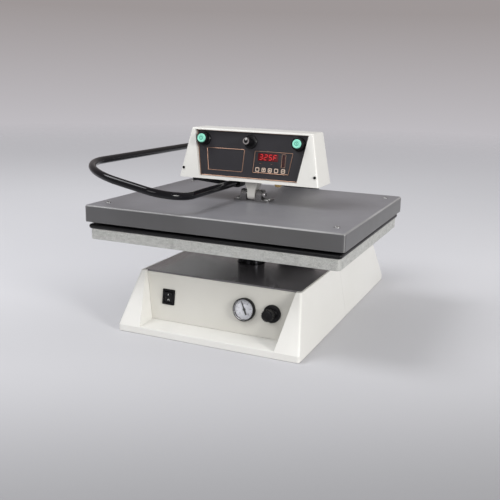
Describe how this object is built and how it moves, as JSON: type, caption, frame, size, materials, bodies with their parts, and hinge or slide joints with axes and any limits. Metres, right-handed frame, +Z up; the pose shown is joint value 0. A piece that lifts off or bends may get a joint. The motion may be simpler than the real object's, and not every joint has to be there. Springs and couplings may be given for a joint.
{
  "type": "automatic swing-away heat press",
  "caption": "Swing-away heat press: square heated platen under a sloped control head, padded lower table on an air-lifted post, low base with switch, gauge and pressure knob.",
  "frame": {"origin": "on the floor under the centre of the lift post and of both platens, on the chassis plate's underside", "axes": "+X to the operator's right, -Y towards the operator, +Z up"},
  "size_m": [0.5909, 0.6969, 0.4187],
  "materials": {
    "casing_paint": "satin powder coat, warm light grey",
    "panel_paint": "satin powder coat, slightly darker",
    "tray_paint": "satin powder coat",
    "dark_gloss": "gloss dark grey lacquer",
    "zinc_sheet": "zinc plated sheet",
    "zinc_screws": "zinc plated",
    "black_screws": "black oxide",
    "black_paint": "gloss black",
    "post_black": "hard black oxide, polished",
    "arm_paint": "satin ivory paint",
    "hanger_steel": "dark machined steel",
    "pin_chrome": "polished",
    "table_aluminium": "cast, milled edge",
    "pad_rubber": "silicone sponge skin",
    "heater_coating": "dark non-stick coating",
    "element_steel": "oxidised sheath",
    "insulation_felt": "ceramic fibre felt",
    "cover_paint": "fine hammered charcoal enamel",
    "head_panel_paint": "charcoal overlay",
    "controller_plastic": "semi gloss overlay",
    "window_red": "smoked red window",
    "key_plastic": "rubber keys",
    "holder_plastic": "black",
    "button_green": "translucent green",
    "knob_plastic": "black with bright face",
    "gland_brass": "turned",
    "bronze": "sintered bronze",
    "cylinder_aluminium": "anodised",
    "valve_body": "anodised with black coil",
    "gauge_rim": "black enamel",
    "gauge_face": "white dial",
    "gauge_glass": "clear",
    "needle_black": "black",
    "regulator_plastic": "black moulded",
    "switch_bezel": "light moulded frame",
    "switch_rocker": "black rocker",
    "fitting_nickel": "nickel plated",
    "gland_nylon": "black nylon"
  },
  "bodies": {
    "base": {"base_front_cover": "casing_paint", "base_rear_cover": "casing_paint", "control_panel": "panel_paint", "top_plate": "dark_gloss", "chassis": "zinc_sheet", "casing_screws": "zinc_screws", "rocker_bezel": "switch_bezel", "gauge_case": "gauge_rim", "gauge_dial": "gauge_face", "gauge_glass": "gauge_glass", "regulator_body": "regulator_plastic", "regulator_nut": "regulator_plastic", "solenoid_valve": "valve_body", "air_inlet": "fitting_nickel", "cable_gland": "gland_nylon", "cylinder_barrel": "cylinder_aluminium", "cylinder_head": "cylinder_aluminium", "rod_bush": "bronze", "column": "black_paint", "spindle": "post_black", "spindle_nut": "post_black", "foot_bolts": "zinc_screws", "tie_rods": "zinc_screws"},
    "table": {"piston": "cylinder_aluminium", "lift_post": "post_black", "table_screws": "zinc_screws", "lower_table": "table_aluminium", "press_pad": "pad_rubber"},
    "arm": {"swing_arm": "arm_paint", "arm_bushes": "bronze", "hub_cap": "black_paint", "head_casing": "casing_paint", "head_tray": "tray_paint", "lead_gland": "gland_brass", "head_screws": "black_screws", "head_panel": "head_panel_paint", "controller": "controller_plastic", "display_windows": "window_red", "button_holders": "holder_plastic", "handle": "black_paint", "handle_clamp": "black_paint"},
    "platen": {"heater_plate": "heater_coating", "heating_element": "element_steel", "insulation": "insulation_felt", "platen_spacers": "zinc_screws", "platen_cover": "cover_paint", "cover_screws": "black_screws", "hanger": "hanger_steel", "hanger_pin": "pin_chrome"},
    "power_rocker": {"rocker": "switch_rocker"},
    "pressure_needle": {"gauge_needle": "needle_black"},
    "regulator_dial": {"regulator_knob": "regulator_plastic"},
    "selector": {"selector_knob": "knob_plastic"},
    "start_left": {"start_button_left": "button_green"},
    "start_right": {"start_button_right": "button_green"},
    "key_1_body": {"key_1": "key_plastic"},
    "key_2_body": {"key_2": "key_plastic"},
    "key_3_body": {"key_3": "key_plastic"},
    "key_4_body": {"key_4": "key_plastic"},
    "key_5_body": {"key_5": "key_plastic"}
  },
  "joints": [
    {"name": "table_lift", "type": "slide", "parent": "base", "child": "table", "axis": [0, 0, 1], "range_m": [-0.025, 0]},
    {"name": "arm_swing", "type": "hinge", "parent": "base", "child": "arm", "pos_m": [0, 0.31, 0.3], "axis": [0, 0, 1], "range_deg": [0, 95]},
    {"name": "platen_tilt", "type": "hinge", "parent": "arm", "child": "platen", "pos_m": [0, 0, 0.2782], "axis": [1, 0, 0], "range_deg": [-0.5, 0.5]},
    {"name": "start_left_press", "type": "slide", "parent": "arm", "child": "start_left", "axis": [0, 0.9881, -0.1541], "range_m": [0, 0.0035], "stiffness_N_per_m": 800, "springref_m": -0.001},
    {"name": "start_right_press", "type": "slide", "parent": "arm", "child": "start_right", "axis": [0, 0.9881, -0.1541], "range_m": [0, 0.0035], "stiffness_N_per_m": 800, "springref_m": -0.001},
    {"name": "selector_turn", "type": "hinge", "parent": "arm", "child": "selector", "pos_m": [0, -0.0199, 0.3937], "axis": [0, -0.9881, 0.1541], "range_deg": [-30, 30]},
    {"name": "key_1_press", "type": "slide", "parent": "arm", "child": "key_1_body", "axis": [0, 0.9881, -0.1541], "range_m": [0, 0.0008], "stiffness_N_per_m": 2000, "springref_m": -0.0003},
    {"name": "key_2_press", "type": "slide", "parent": "arm", "child": "key_2_body", "axis": [0, 0.9881, -0.1541], "range_m": [0, 0.0008], "stiffness_N_per_m": 2000, "springref_m": -0.0003},
    {"name": "key_3_press", "type": "slide", "parent": "arm", "child": "key_3_body", "axis": [0, 0.9881, -0.1541], "range_m": [0, 0.0008], "stiffness_N_per_m": 2000, "springref_m": -0.0003},
    {"name": "key_4_press", "type": "slide", "parent": "arm", "child": "key_4_body", "axis": [0, 0.9881, -0.1541], "range_m": [0, 0.0008], "stiffness_N_per_m": 2000, "springref_m": -0.0003},
    {"name": "key_5_press", "type": "slide", "parent": "arm", "child": "key_5_body", "axis": [0, 0.9881, -0.1541], "range_m": [0, 0.0008], "stiffness_N_per_m": 2000, "springref_m": -0.0003},
    {"name": "power_switch", "type": "hinge", "parent": "base", "child": "power_rocker", "pos_m": [-0.11476, -0.17411, 0.07061], "axis": [1, 0, 0], "range_deg": [-18, 0]},
    {"name": "pressure_reading", "type": "hinge", "parent": "base", "child": "pressure_needle", "pos_m": [0.06256, -0.17708, 0.07103], "axis": [0, -0.9903, 0.1392], "range_deg": [-160, 110]},
    {"name": "regulator_turn", "type": "hinge", "parent": "base", "child": "regulator_dial", "pos_m": [0.12316, -0.18401, 0.072], "axis": [0, -0.9903, 0.1392], "range_deg": [-720, 720]}
  ]
}
